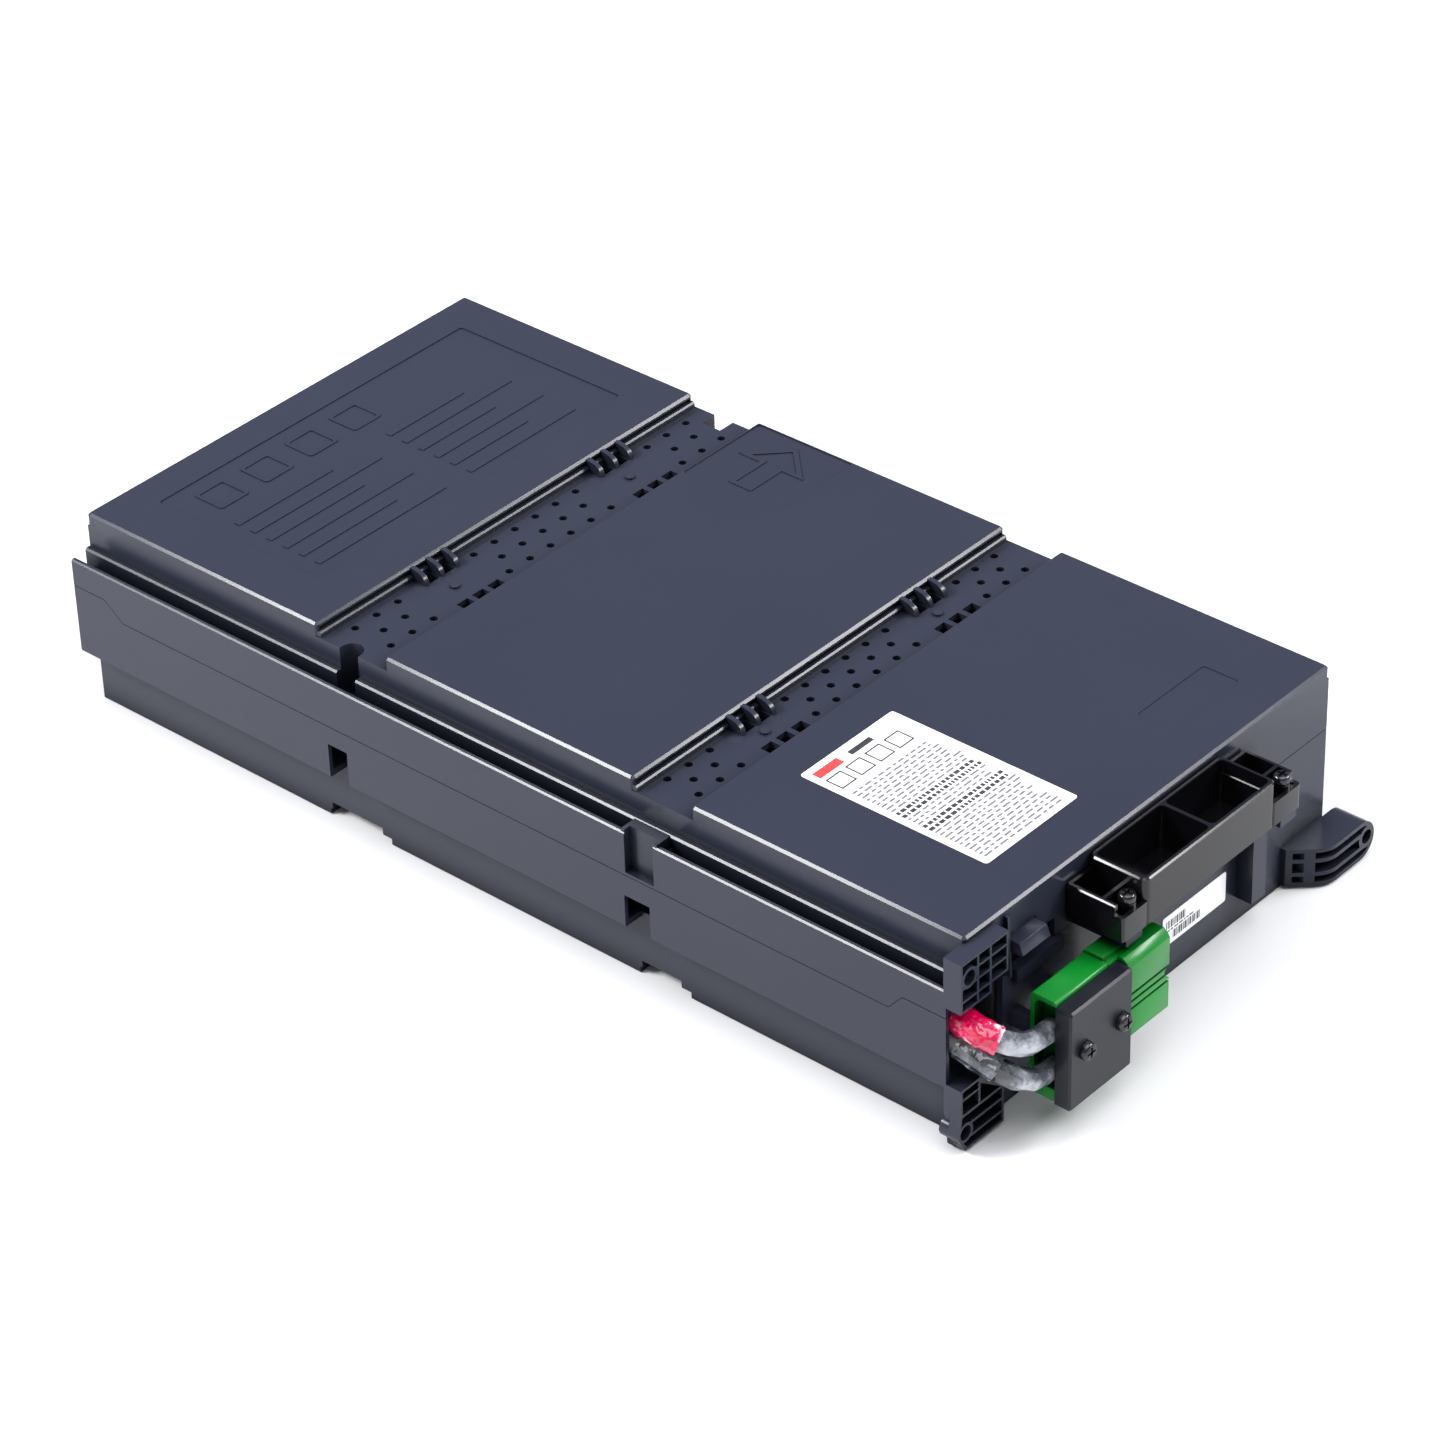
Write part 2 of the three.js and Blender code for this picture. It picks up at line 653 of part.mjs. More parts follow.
function batteryBlock(x0, row) {
  const body = prismZ(rounded(x0, x0 + blockWide, row.y0, row.y1, 2), blockFloor, blockTop, 3);
  const faceY = row.facing > 0 ? row.y1 : row.y0;
  const grooveY = faceY - row.facing * 18;
  const band = rounded(x0 - 1, x0 + blockWide + 1, grooveY - 0.5, grooveY + 0.5, 0.4);
  const core = rounded(x0 + 0.7, x0 + blockWide - 0.7, grooveY - 2, grooveY + 2, 0.4);
  const seam = cut(
    prismZ(band, blockFloor - 1, blockTop + 1, 2),
    [prismZ(core, blockFloor + 0.7, blockTop - 0.7, 2)],
  );
  return body.subtract(seam);
}

function terminalX(x0, pole) {
  return x0 + blockWide / 2 + (pole === 'positive' ? -1 : 1) * terminal.offset;
}

for (const { section, ...row } of rows) {
  for (const { side, x0 } of columns) {
    add(`battery_${section}_${side}`, batteryBlock(x0, row), finishes.block);
    for (const pole of ['positive', 'negative']) {
      const x = terminalX(x0, pole);
      const face = row.facing > 0 ? row.y1 + clear : row.y0 - clear - terminal.long;
      add(
        `terminal_${section}_${side}_${pole}`,
        box(x - terminal.wide / 2, x + terminal.wide / 2, face, face + terminal.long,
          terminal.z, terminal.z + terminal.thick),
        finishes.brass,
      );
    }
  }
}

// ---- series links -----------------------------------------------------------------------------
const linkRadius = 1.7;
const linkZ = terminal.z + terminal.thick + linkRadius + clear;
const terminalY = (row) => (row.facing > 0 ? row.y1 : row.y0) + row.facing * (clear + terminal.long / 2);
const [frontRow, middleRow, rearRow] = rows;
const [leftColumn, rightColumn] = columns;

function linkAcross(row, fromX, toX) {
  const y = terminalY(row);
  const out = (distance) => y + row.facing * distance;
  return swept([
    [fromX, y, linkZ], [fromX, out(4), linkZ], [fromX + 4, out(9), linkZ - 3],
    [(fromX + toX) / 2, out(10.5), linkZ - 6],
    [toX - 4, out(9), linkZ - 3], [toX, out(4), linkZ], [toX, y, linkZ],
  ], linkRadius, 16, 6);
}

add('series_link_front', linkAcross(frontRow, terminalX(leftColumn.x0, 'negative'),
  terminalX(rightColumn.x0, 'positive')), finishes.blackWire);
add('series_link_middle', linkAcross(middleRow, terminalX(leftColumn.x0, 'negative'),
  terminalX(rightColumn.x0, 'positive')), finishes.blackWire);

const rightNegative = terminalX(rightColumn.x0, 'negative');
add('series_link_front_channel', swept([
  [rightNegative, terminalY(frontRow), linkZ], [rightNegative, terminalY(frontRow) + 5, linkZ],
  [rightNegative, (terminalY(frontRow) + terminalY(middleRow)) / 2, linkZ - 3],
  [rightNegative, terminalY(middleRow) - 5, linkZ], [rightNegative, terminalY(middleRow), linkZ],
], linkRadius, 12, 6), finishes.blackWire);

const alleyX = -half + wall + 10.5;
const leftPositive = terminalX(leftColumn.x0, 'positive');
add('series_link_side', swept([
  [leftPositive, terminalY(middleRow), linkZ], [leftPositive, terminalY(middleRow) - 5, linkZ],
  [leftPositive - 8, terminalY(middleRow) - 10, linkZ - 1], [alleyX + 2, middleRow.y0 - 1, linkZ - 2],
  [alleyX + 2, middleRow.y0 + 20, linkZ - 3], [alleyX + 2, middleRow.y1 - 10, linkZ - 3],
  [alleyX + 2, rearRow.y0 - 30, linkZ - 3], [leftPositive - 8, rearRow.y0 - 17, linkZ - 1],
  [leftPositive, terminalY(rearRow) - 6, linkZ], [leftPositive, terminalY(rearRow), linkZ],
], linkRadius, 36, 6), finishes.blackWire);

// The link across the rear section carries the string fuse.
const fuseX = columnRight - 0.25;
const fuse = { half: 6, y: rearRow.y0 - 13, z: linkZ - 12, radius: 3.4 };
function fuseTail(name, fromX, toX) {
  const y = terminalY(rearRow);
  const lean = Math.sign(toX - fromX);
  add(name, swept([
    [fromX, y, linkZ], [fromX, y - 5, linkZ], [fromX, fuse.y - 1, linkZ - 4],
    [fromX + lean * 1.2, fuse.y, fuse.z + 3], [toX - lean * 2, fuse.y, fuse.z], [toX, fuse.y, fuse.z],
  ], linkRadius, 12, 6), finishes.blackWire);
}
fuseTail('fuse_tail_left', terminalX(leftColumn.x0, 'negative'), fuseX - fuse.half - clear);
fuseTail('fuse_tail_right', terminalX(rightColumn.x0, 'positive'), fuseX + fuse.half + clear);
add('string_fuse', solid(new THREE.CylinderGeometry(fuse.radius, fuse.radius, 2 * fuse.half, 16)
  .rotateZ(Math.PI / 2).translate(fuseX, fuse.y, fuse.z)), finishes.label);

// ---- power leads ------------------------------------------------------------------------------
const leadRadius = 4.3;
const sleeveRadius = 5.3;
const leadEndX = -half + 24.4;
const leadDeepY = front - 18.8;
const highEndZ = top - 42.8;
const lowEndZ = top - 59;
const mouthX = railLeft + 7.8;

const positiveRoute = [
  [leftPositive, frontRow.y1 + 10.5, linkZ - 1], [leftPositive - 10, frontRow.y1 + 11, linkZ - 4],
  [alleyX, frontRow.y1, linkZ - 10], [alleyX - 1, frontRow.y1 - 40, linkZ - 12],
  [mouthX + 6, front + 26, top - 33], [mouthX + 1, front + 6, top - 31.8],
  [mouthX + 0.3, front - 6, top - 33.5], [mouthX + 3.6, front - 14.6, top - 36.6],
  [mouthX + 11, leadDeepY, top - 40.4], [leadEndX - 8, leadDeepY, top - 42.2],
  [leadEndX, leadDeepY, highEndZ],
];
const negativeRoute = [
  [rightNegative, rearRow.y0 - 11, linkZ - 1], [rightNegative - 10, rearRow.y0 - 22, linkZ - 10],
  [0, rearRow.y0 - 26, 40], [leftPositive, rearRow.y0 - 26, 38], [alleyX - 1, rearRow.y0 - 40, 36],
  [alleyX - 1, 0, 34], [alleyX - 1, front + 60, 35], [mouthX + 6, front + 26, top - 42],
  [mouthX + 0.6, front + 6, top - 41.9], [mouthX + 0.4, front - 6, top - 44.4],
  [mouthX + 3.4, front - 14.6, top - 49], [mouthX + 10.6, leadDeepY, top - 55.5],
  [leadEndX - 8, leadDeepY, top - 58.6], [leadEndX, leadDeepY, lowEndZ],
];
add('positive_lead', swept(positiveRoute, leadRadius, 40, 10), finishes.greyLead);
add('negative_lead', swept(negativeRoute, leadRadius, 76, 8), finishes.greyLead);

// ---- grip -------------------------------------------------------------------------------------
// A trough in two pockets, between two lower end boxes that take the screws.
function endBox(x0, x1, wallLeft, wallRight, screwX) {
  const { y0 } = gripBounds;
  const y1 = front - clear;
  const floor = gripBottom + 2;
  const lowRim = top - 12;
  const highRim = top - 8;
  const ribY = front - 15.4;
  const skin = chamferedZ(rounded(x0, x1, y0, y1, 1.5), gripBottom, highRim, 0.5, 3);
  const rooms = [
    box(x0 + wallLeft, x1 - wallRight, y0 + 1.8, ribY - 0.7, floor, highRim + 1),
    box(x0 + wallLeft, x1 - wallRight, ribY + 0.7, y1 - 1.8, floor, highRim + 1),
    box(x0 - 1, x1 + 1, y0 - 1, y0 + 3.6, lowRim, highRim + 1),
  ];
  const boss = rodZ(screwX, gripScrewY, gripBottom, gripScrewTop - 2.8 - clear, 3.4, 14);
  const screwHole = rodZ(screwX, gripScrewY, gripBottom - 1, top, 1.9, 12);
  return { body: join([cut(skin, rooms), boss]), screwHole };
}

function grip() {
  const { left, right, y0 } = gripBounds;
  const y1 = front - clear;
  const rim = top - 2.8;
  const mid = trough.left + 39.8;
  const shell = chamferedZ(rounded(trough.left, trough.right, y0, y1, 3), gripBottom, rim, 0.6, 4);
  const pockets = [[trough.left + 1.6, mid - 0.8], [mid + 0.8, trough.right - 1.6]].map(([x0, x1]) => (
    prismZ(rounded(x0, x1, y0 + 1.8, y1 - 1.8, 2), gripBottom + 2, rim + 1, 3)
  ));
  const ledges = [trough.left + 1, mid].map((x) => (
    box(x, x + 22, y0 + 1.5, y0 + 6, gripBottom + 1, top - 13)
  ));
  const ends = [
    endBox(left, trough.left + 2, 1.6, 2, gripScrewX[0]),
    endBox(trough.right - 2, right, 2, 1.6, gripScrewX[1]),
  ];
  const body = join([cut(shell, pockets), ...ledges, ...ends.map((end) => end.body)]);
  return cut(body, ends.map((end) => end.screwHole));
}
add('grip', grip(), finishes.dark);

// Pan-head screw along -Z or +Y, with a cross recess in its head.
function panScrew(headRadius, headHeight, shankRadius, shankLength) {
  const dome = new THREE.Shape();
  dome.moveTo(0, -shankLength);
  dome.lineTo(shankRadius, -shankLength);
  dome.lineTo(shankRadius, 0);
  dome.lineTo(headRadius, 0);
  dome.lineTo(headRadius, headHeight * 0.45);
  dome.quadraticCurveTo(headRadius * 0.95, headHeight, headRadius * 0.5, headHeight);
  dome.lineTo(0, headHeight);
  const profile = dome.getPoints(3).map((p) => new THREE.Vector2(p.x, p.y));
  const body = solid(new THREE.LatheGeometry(profile, 12).rotateX(Math.PI / 2));
  const arm1 = box(-headRadius * 0.62, headRadius * 0.62, -0.45, 0.45, headHeight * 0.45, headHeight + 1);
  const arm2 = box(-0.45, 0.45, -headRadius * 0.62, headRadius * 0.62, headHeight * 0.45, headHeight + 1);
  return cut(body, [arm1, arm2]);
}

['left', 'right'].forEach((side, i) => {
  const screw = panScrew(3.3, 2.8, 1.4, 16);
  const seat = [gripScrewX[i], gripScrewY, gripScrewTop - 2.8];
  add(`grip_screw_${side}`, screw.translate(seat), finishes.steel);
});

// ---- connector --------------------------------------------------------------------------------
const connector = {
  x0: -half + 20.4, seam: -half + 48.8, x1: -half + 77.2,
  y0: front - 28.2, y1: connectorBack, z0: top - 70.3, z1: top - 28,
};
const plate = {
  x0: -half + 19.4, x1: -half + 54, y0: front - 30, z0: top - 71.2, z1: top - 29.4, rim: 6.5,
};
const plateSheet = 1.3;

function connectorBody() {
  const { x0, seam, y0, y1, z0, z1 } = connector;
  const rimBack = plate.y0 + plate.rim + clear;
  const main = prismX(rounded(rimBack, y1, z0, z1, 1.5), x0, seam - clear / 2);
  const nose = box(x0 + 1, seam - clear / 2, y0, rimBack + 1, plate.z0 + 1.6, plate.z1 - 1.6);
  const holes = plateScrews.map((x) => rodY(x, plateScrewZ, y0 - 1, y1 + 1, 2, 12));
  const leadRoom = prismX(rounded(rimBack - 2.5, y1 - 1.8, z0 + 5, z1 - 2, 3), x0 - 1, x0 + 5.2);
  return cut(join([main, nose]), [...holes, leadRoom]);
}

function connectorShell() {
  const { seam, x1, y0, y1 } = connector;
  const z0 = top - 62.5;
  const z1 = top - 29;
  const section = outline([
    [y0 + 0.2, z0 + 1.5], [y0 + 1.7, z0], [y1 - 1, z0], [y1, z0 + 1], [y1, z1 + 1], [y1 - 1, z1 + 2],
    [y0 + 7.5, z1 + 2], [y0 + 7.5, z1 + 0.8], [y0 + 3, z1 + 0.8], [y0 + 1.2, z1 - 0.6],
    [y0 + 0.2, z1 - 2.2],
  ]);
  const body = prismX(section, seam + clear / 2, x1);
  const mouth = prismX(rounded(y0 + 3, y1 - 2.4, z0 + 3, z1 - 3, 1), x1 - 15, x1 + 1);
  const grooves = [top - 42.6, top - 45.7, top - 48.9].map((z) => (
    box(seam - 1, x1 + 1, y0 - 1, y0 + 1.3, z - 1.1, z)
  ));
  const stripSeat = box(seam - 1, seam + 11, y0 + 5, y0 + 7.3, z1 + 0.3, z1 + 3);
  const bite = prismY(outline([
    [x1 + 1, top - 42], [x1 - 2.6, top - 44.5], [x1 - 2.6, top - 46], [x1 + 1, top - 49.5],
  ]), y0 - 1, y0 + 2.6);
  const rimSeat = box(seam - 1, plate.x1 + clear, y0 - 1, plate.y0 + plate.rim + clear,
    plate.z1 - plateSheet - clear, z1 + 3);
  const screwHole = rodY(plateScrews[1], plateScrewZ, y0 - 1, y1 + 1, 2, 12);
  return cut(body, [mouth, ...grooves, bite, stripSeat, rimSeat, screwHole]);
}

add('connector_body', connectorBody(), finishes.green);
add('connector_shell', connectorShell(), finishes.green);
for (const [pole, z] of [['positive', top - 39], ['negative', top - 52.5]]) {
  const { x1, y0, y1 } = connector;
  const y = (y0 + y1) / 2 + 0.3;
  add(`contact_${pole}`, box(x1 - 14.6, x1 - 3, y - 1.2, y + 1.2, z - 4, z + 4), finishes.brass);
}

function connectorPlate() {
  const t = plateSheet;
  const { x0, x1, y0, z0, z1, rim } = plate;
  const pan = chamferedFront(rounded(x0, x1, z0, z1, 1.4), y0, y0 + rim, 0.8, 3);
  const hollow = box(x0 + t, x1 + 1, y0 + t, y0 + rim + 1, z0 + t, z1 - t);
  return cut(pan, [hollow, ...plateScrews.map((x) => rodY(x, plateScrewZ, y0 - 1, y0 + 3, 2, 12))]);
}
add('connector_plate', connectorPlate(), finishes.dark);

['left', 'right'].forEach((side, i) => {
  const screw = panScrew(3.6, 2.6, 1.6, 24).rotate([90, 0, 0]);
  const seat = [plateScrews[i], plate.y0 - clear, plateScrewZ];
  add(`plate_screw_${side}`, screw.translate(seat), finishes.steel);
});

// ---- labels -----------------------------------------------------------------------------------
const labelThickness = 0.2;
add('rating_label', prismZ(rounded(-half + 37.4, -half + 88, front + 20.3, front + 103.2, 1.2),
  top + 0.05, top + 0.05 + labelThickness, 3), finishes.label);
add('barcode_label', prismY(rounded(-half + 111.2, -half + 148.5, top - 70, top - 57, 1),
  front - 0.05 - labelThickness, front - 0.05, 3), finishes.label);

// ---- lead sleeves -----------------------------------------------------------------------------
// A sleeve follows its lead from just inside the front wall to a given distance in front of it.
function sleeve(route, reach) {
  const curve = new THREE.CatmullRomCurve3(route.map((p) => new THREE.Vector3(...p)));
  const covered = curve.getSpacedPoints(200).filter((p) => p.y < front + 2 && p.y > front - reach
    && p.x < leadEndX - 12);
  const stations = covered.filter((p, i) => i % 3 === 0).map((p) => p.toArray());
  return swept(stations, sleeveRadius, 9, 10, leadRadius + 0.5);
}
add('positive_sleeve', sleeve(positiveRoute, 15), finishes.redSleeve);
add('negative_sleeve', sleeve(negativeRoute, 15), finishes.greyLead);

export default cartridge;
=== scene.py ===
# Rack battery cartridge: looks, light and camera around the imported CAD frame. Metres, +Z up.
import json
import math
import random

import bmesh
import bpy
from mathutils import Matrix, Vector


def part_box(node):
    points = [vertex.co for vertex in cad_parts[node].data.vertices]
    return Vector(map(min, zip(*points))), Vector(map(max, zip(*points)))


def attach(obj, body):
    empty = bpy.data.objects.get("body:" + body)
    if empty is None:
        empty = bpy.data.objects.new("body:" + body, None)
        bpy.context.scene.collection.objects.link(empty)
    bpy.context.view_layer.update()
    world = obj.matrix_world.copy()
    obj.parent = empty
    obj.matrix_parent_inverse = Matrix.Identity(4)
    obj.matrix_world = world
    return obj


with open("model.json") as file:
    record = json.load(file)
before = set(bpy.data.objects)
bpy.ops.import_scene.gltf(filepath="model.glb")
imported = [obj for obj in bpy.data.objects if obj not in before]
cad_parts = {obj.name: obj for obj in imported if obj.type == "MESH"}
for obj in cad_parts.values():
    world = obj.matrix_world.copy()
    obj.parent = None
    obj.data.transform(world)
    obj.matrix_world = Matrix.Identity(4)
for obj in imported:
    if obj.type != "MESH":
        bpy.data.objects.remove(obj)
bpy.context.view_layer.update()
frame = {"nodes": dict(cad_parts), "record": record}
nodes = frame["nodes"]
scene = bpy.context.scene

MM = 0.001
PACK = "pack"


# ---- camera ----------------------------------------------------------------------------------
def make_camera():
    azimuth, elevation, roll = (math.radians(a) for a in (-48.029, 34.679, -1.845))
    aim = Vector((-0.0588, -0.0624, 0.0835))
    distance = 1.8063
    back = Vector((
        math.sin(azimuth) * math.cos(elevation),
        -math.cos(azimuth) * math.cos(elevation),
        math.sin(elevation),
    ))
    level = Vector((0, 0, 1)).cross(back).normalized()
    rise = back.cross(level)
    right = math.cos(roll) * level + math.sin(roll) * rise
    up = -math.sin(roll) * level + math.cos(roll) * rise
    data = bpy.data.cameras.new("camera")
    data.sensor_width = 36
    data.lens = 127.58
    data.clip_end = 50
    camera = bpy.data.objects.new("camera", data)
    scene.collection.objects.link(camera)
    turn = Matrix((right, up, back)).transposed().to_4x4()
    camera.matrix_world = Matrix.Translation(aim + back * distance) @ turn
    scene.camera = camera


# ---- materials -------------------------------------------------------------------------------
class Shader:
    """A material with its principled shader, and short ways to add nodes to it."""

    def __init__(self, name, color, roughness, **sockets):
        self.material = bpy.data.materials.new(name)
        self.material.use_nodes = True
        self.tree = self.material.node_tree
        self.bsdf = self.tree.nodes["Principled BSDF"]
        self.bsdf.inputs["Base Color"].default_value = (*color, 1)
        self.bsdf.inputs["Roughness"].default_value = roughness
        for socket, value in sockets.items():
            self.bsdf.inputs[socket.replace("_", " ")].default_value = value
        self.place = self.node("ShaderNodeTexCoord").outputs["Object"]

    def node(self, kind, **settings):
        made = self.tree.nodes.new(kind)
        for key, value in settings.items():
            setattr(made, key, value)
        return made

    def link(self, output, target):
        self.tree.links.new(output, target)

    def noise(self, scale, detail=3, rough=0.5):
        made = self.node("ShaderNodeTexNoise")
        made.inputs["Scale"].default_value = scale
        made.inputs["Detail"].default_value = detail
        made.inputs["Roughness"].default_value = rough
        self.link(self.place, made.inputs["Vector"])
        return made.outputs["Fac"]

    def spread(self, value, low, high, start=0.15, end=0.85):
        made = self.node("ShaderNodeMapRange")
        made.inputs["From Min"].default_value = start
        made.inputs["From Max"].default_value = end
        made.inputs["To Min"].default_value = low
        made.inputs["To Max"].default_value = high
        self.link(value, made.inputs["Value"])
        return made.outputs["Result"]

    def ramp(self, value, stops):
        made = self.node("ShaderNodeValToRGB")
        elements = made.color_ramp.elements
        while len(elements) < len(stops):
            elements.new(0.5)
        for element, (position, color) in zip(elements, stops):
            element.position = position
            element.color = (*color, 1)
        self.link(value, made.inputs["Fac"])
        return made.outputs["Color"]

    def tint(self, value, stops):
        self.link(self.ramp(value, stops), self.bsdf.inputs["Base Color"])

    def gloss(self, value, low, high):
        self.link(self.spread(value, low, high), self.bsdf.inputs["Roughness"])

    def bump(self, height, strength, distance):
        made = self.node("ShaderNodeBump")
        made.inputs["Strength"].default_value = strength
        made.inputs["Distance"].default_value = distance
        self.link(height, made.inputs["Height"])
        self.link(made.outputs["Normal"], self.bsdf.inputs["Normal"])

    def painted_gap_shade(self, color, gloss, reach):
        """Painted shade: narrow gaps and inner corners are darkened in colour and given less gloss
        than open faces, as if they took less light.
        """
        gap = self.node("ShaderNodeAmbientOcclusion", samples=4)
        gap.inputs["Distance"].default_value = reach
        self.link(color, gap.inputs["Color"])
        self.link(gap.outputs["Color"], self.bsdf.inputs["Base Color"])
        level = self.spread(gap.outputs["AO"], gloss * 0.05, gloss, 0.3, 0.85)
        self.link(level, self.bsdf.inputs["Specular IOR Level"])


def case_plastic():
    """Moulded blue-black ABS: a fine spark-eroded grain, with slow changes of gloss."""
    shader = Shader("case_plastic", (0.023, 0.026, 0.041), 0.24, Specular_IOR_Level=0.27)
    slow = shader.noise(7, 4)
    shader.gloss(slow, 0.2, 0.28)
    tone = shader.ramp(slow, [(0.1, (0.02, 0.023, 0.037)), (0.9, (0.026, 0.029, 0.046))])
    # Painted shade: colour and gloss darken in grooves and corners within 12 mm.
    shader.painted_gap_shade(tone, 0.28, 12 * MM)
    shader.bump(shader.noise(1800, 2), 0.1, 0.0001)
    return shader.material


def grip_plastic():
    shader = Shader("grip_plastic", (0.0025, 0.0025, 0.0035), 0.18, Specular_IOR_Level=0.45)
    slow = shader.noise(14, 4)
    shader.gloss(slow, 0.14, 0.27)
    shader.tint(slow, [(0.3, (0.002, 0.002, 0.003)), (0.7, (0.003, 0.003, 0.0045))])
    shader.bump(shader.noise(500, 2), 0.05, 0.0002)
    return shader.material


def plate_paint():
    shader = Shader("plate_paint", (0.008, 0.0085, 0.012), 0.3, Specular_IOR_Level=0.3)
    slow = shader.noise(40, 3)
    shader.gloss(slow, 0.28, 0.4)
    shader.tint(slow, [(0.3, (0.0065, 0.0072, 0.012)), (0.7, (0.0095, 0.0105, 0.017))])
    shader.bump(shader.noise(2500, 2), 0.12, 0.0001)
    return shader.material


def connector_green():
    shader = Shader("connector_green", (0.002, 0.19, 0.018), 0.3, Specular_IOR_Level=0.35)
    slow = shader.noise(30, 3)
    tone = shader.ramp(slow, [(0.3, (0.001, 0.17, 0.014)), (0.7, (0.003, 0.22, 0.022))])
    # Painted shade: colour and gloss darken in gaps within 14 mm, such as the body's end by the wall.
    shader.painted_gap_shade(tone, 0.4, 14 * MM)
    shader.gloss(slow, 0.24, 0.38)
    shader.bump(shader.noise(1500, 2), 0.1, 0.0001)
    return shader.material


def black_steel():
    shader = Shader("black_steel", (0.05, 0.05, 0.055), 0.2, Metallic=0.9)
    grain = shader.noise(300, 3)
    shader.gloss(grain, 0.12, 0.34)
    shader.tint(grain, [(0.3, (0.03, 0.03, 0.034)), (0.7, (0.08, 0.08, 0.085))])
    return shader.material


def brass():
    shader = Shader("brass", (0.6, 0.48, 0.22), 0.3, Metallic=1)
    grain = shader.noise(200, 4)
    shader.gloss(grain, 0.2, 0.45)
    shader.tint(grain, [(0.3, (0.52, 0.4, 0.18)), (0.7, (0.66, 0.53, 0.26))])
    return shader.material


def block_plastic():
    shader = Shader("block_plastic", (0.03, 0.03, 0.032), 0.5)
    slow = shader.noise(60, 4)
    shader.gloss(slow, 0.45, 0.6)
    shader.tint(slow, [(0.3, (0.024, 0.024, 0.026)), (0.7, (0.036, 0.036, 0.038))])
    shader.bump(shader.noise(900, 2), 0.2, 0.0002)
    return shader.material


def wire_jacket(name, dark, light):
    """A soft jacket, mottled between two colours."""
    shader = Shader(name, dark, 0.4)
    slow = shader.noise(150, 4)
    shader.tint(slow, [(0.35, dark), (0.65, light)])
    shader.gloss(slow, 0.32, 0.48)
    shader.bump(shader.noise(400, 2), 0.2, 0.0003)
    return shader.material


def clear_jacket(name, stops, scale):
    """A glossy clear jacket, mottled in hard-edged light and dark patches: on the grey leads they are
    partly the strands behind it and partly painted highlights; on the red sleeve the pale streaks are
    painted highlights.
    """
    shader = Shader(name, stops[0][1], 0.12, Coat_Weight=0.8, Coat_Roughness=0.04)
    strands_and_highlights = shader.noise(scale, 5, 0.6)
    shader.tint(strands_and_highlights, stops)
    shader.bump(shader.noise(scale * 2, 3), 0.2, 0.0004)
    return shader.material


def label_film():
    shader = Shader("label_film", (0.9, 0.905, 0.91), 0.35)
    slow = shader.noise(80, 3)
    shader.gloss(slow, 0.3, 0.42)
    shader.tint(slow, [(0.3, (0.88, 0.885, 0.89)), (0.7, (0.93, 0.935, 0.94))])
    shader.bump(shader.noise(700, 2), 0.05, 0.0001)
    return shader.material


def ink(name, color):
    """Print on a label, slightly uneven in how much it covers."""
    shader = Shader(name, color, 0.5)
    paler = tuple(min(1, c * 1.35 + 0.02) for c in color)
    shader.tint(shader.noise(900, 3), [(0.35, color), (0.7, paler)])
    return shader.material


# Jacket colours from dark to pale. The palest stop of each is a painted highlight, which on the grey
# leads is mixed with the silvery strands.
GREY_JACKET = [(0.38, (0.02, 0.023, 0.03)), (0.5, (0.11, 0.12, 0.14)), (0.62, (0.42, 0.44, 0.48))]
RED_JACKET = [(0.45, (0.5, 0.0, 0.05)), (0.57, (0.68, 0.01, 0.09)), (0.62, (0.92, 0.66, 0.7))]
MATERIALS = {
    "case_plastic": case_plastic(),
    "block_plastic": block_plastic(),
    "tab_brass": brass(),
    "wire_jacket": wire_jacket("wire_jacket", (0.012, 0.012, 0.013), (0.02, 0.02, 0.021)),
    "fuse_ceramic": wire_jacket("fuse_ceramic", (0.7, 0.68, 0.63), (0.8, 0.78, 0.73)),
    "lead_jacket": clear_jacket("lead_jacket", GREY_JACKET, 75),
    "grip_plastic": grip_plastic(),
    "screw_steel": black_steel(),
    "connector_plastic": connector_green(),
    "plate_metal": plate_paint(),
    "label_film": label_film(),
    "red_sleeve": clear_jacket("red_sleeve", RED_JACKET, 90),
    "grey_sleeve": clear_jacket("grey_sleeve", GREY_JACKET, 80),
}
INK_BLACK = ink("ink_black", (0.02, 0.02, 0.022))
INK_GREY = ink("ink_grey", (0.12, 0.12, 0.13))
INK_RED = ink("ink_red", (0.6, 0.03, 0.03))


def paint_cad_nodes():
    for entry in frame["record"]["subparts"]:
        data = nodes[entry["node"]].data
        data.materials.clear()
        data.materials.append(MATERIALS[entry["material_slot"]])


def weld(node):
    """Joins the corners that neighbouring triangles share."""
    joined = node.modifiers.new("weld", "WELD")
    joined.merge_threshold = 0.002 * MM


def shade_cad_nodes():
    """Round stretches shade smoothly; edges sharper than the limit stay crisp."""
    for node in nodes.values():
        if node.data.has_custom_normals:
            node.data.attributes.remove(node.data.attributes["custom_normal"])
        for polygon in node.data.polygons:
            polygon.use_smooth = True
        weld(node)
        split = node.modifiers.new("crisp", "EDGE_SPLIT")
        split.split_angle = math.radians(35)


# How far each small moulding's edges are rounded, in mm.
ROUNDED = {"snap_tab": 0.3, "connector_body": 0.4, "connector_shell": 0.4}


def round_small_nodes():
    """Small mouldings get their edges rounded, between the weld and the split."""
    for name, width in ROUNDED.items():
        node = nodes[name]
        flat = node.modifiers.new("flat", "DECIMATE")
        flat.decimate_type = "DISSOLVE"
        flat.angle_limit = math.radians(1)
        bevel = node.modifiers.new("round", "BEVEL")
        bevel.width = width * MM
        bevel.segments = 2
        bevel.limit_method = "ANGLE"
        bevel.angle_limit = math.radians(30)
        for wanted in (bevel, flat):
            node.modifiers.move(list(node.modifiers).index(wanted), 1)


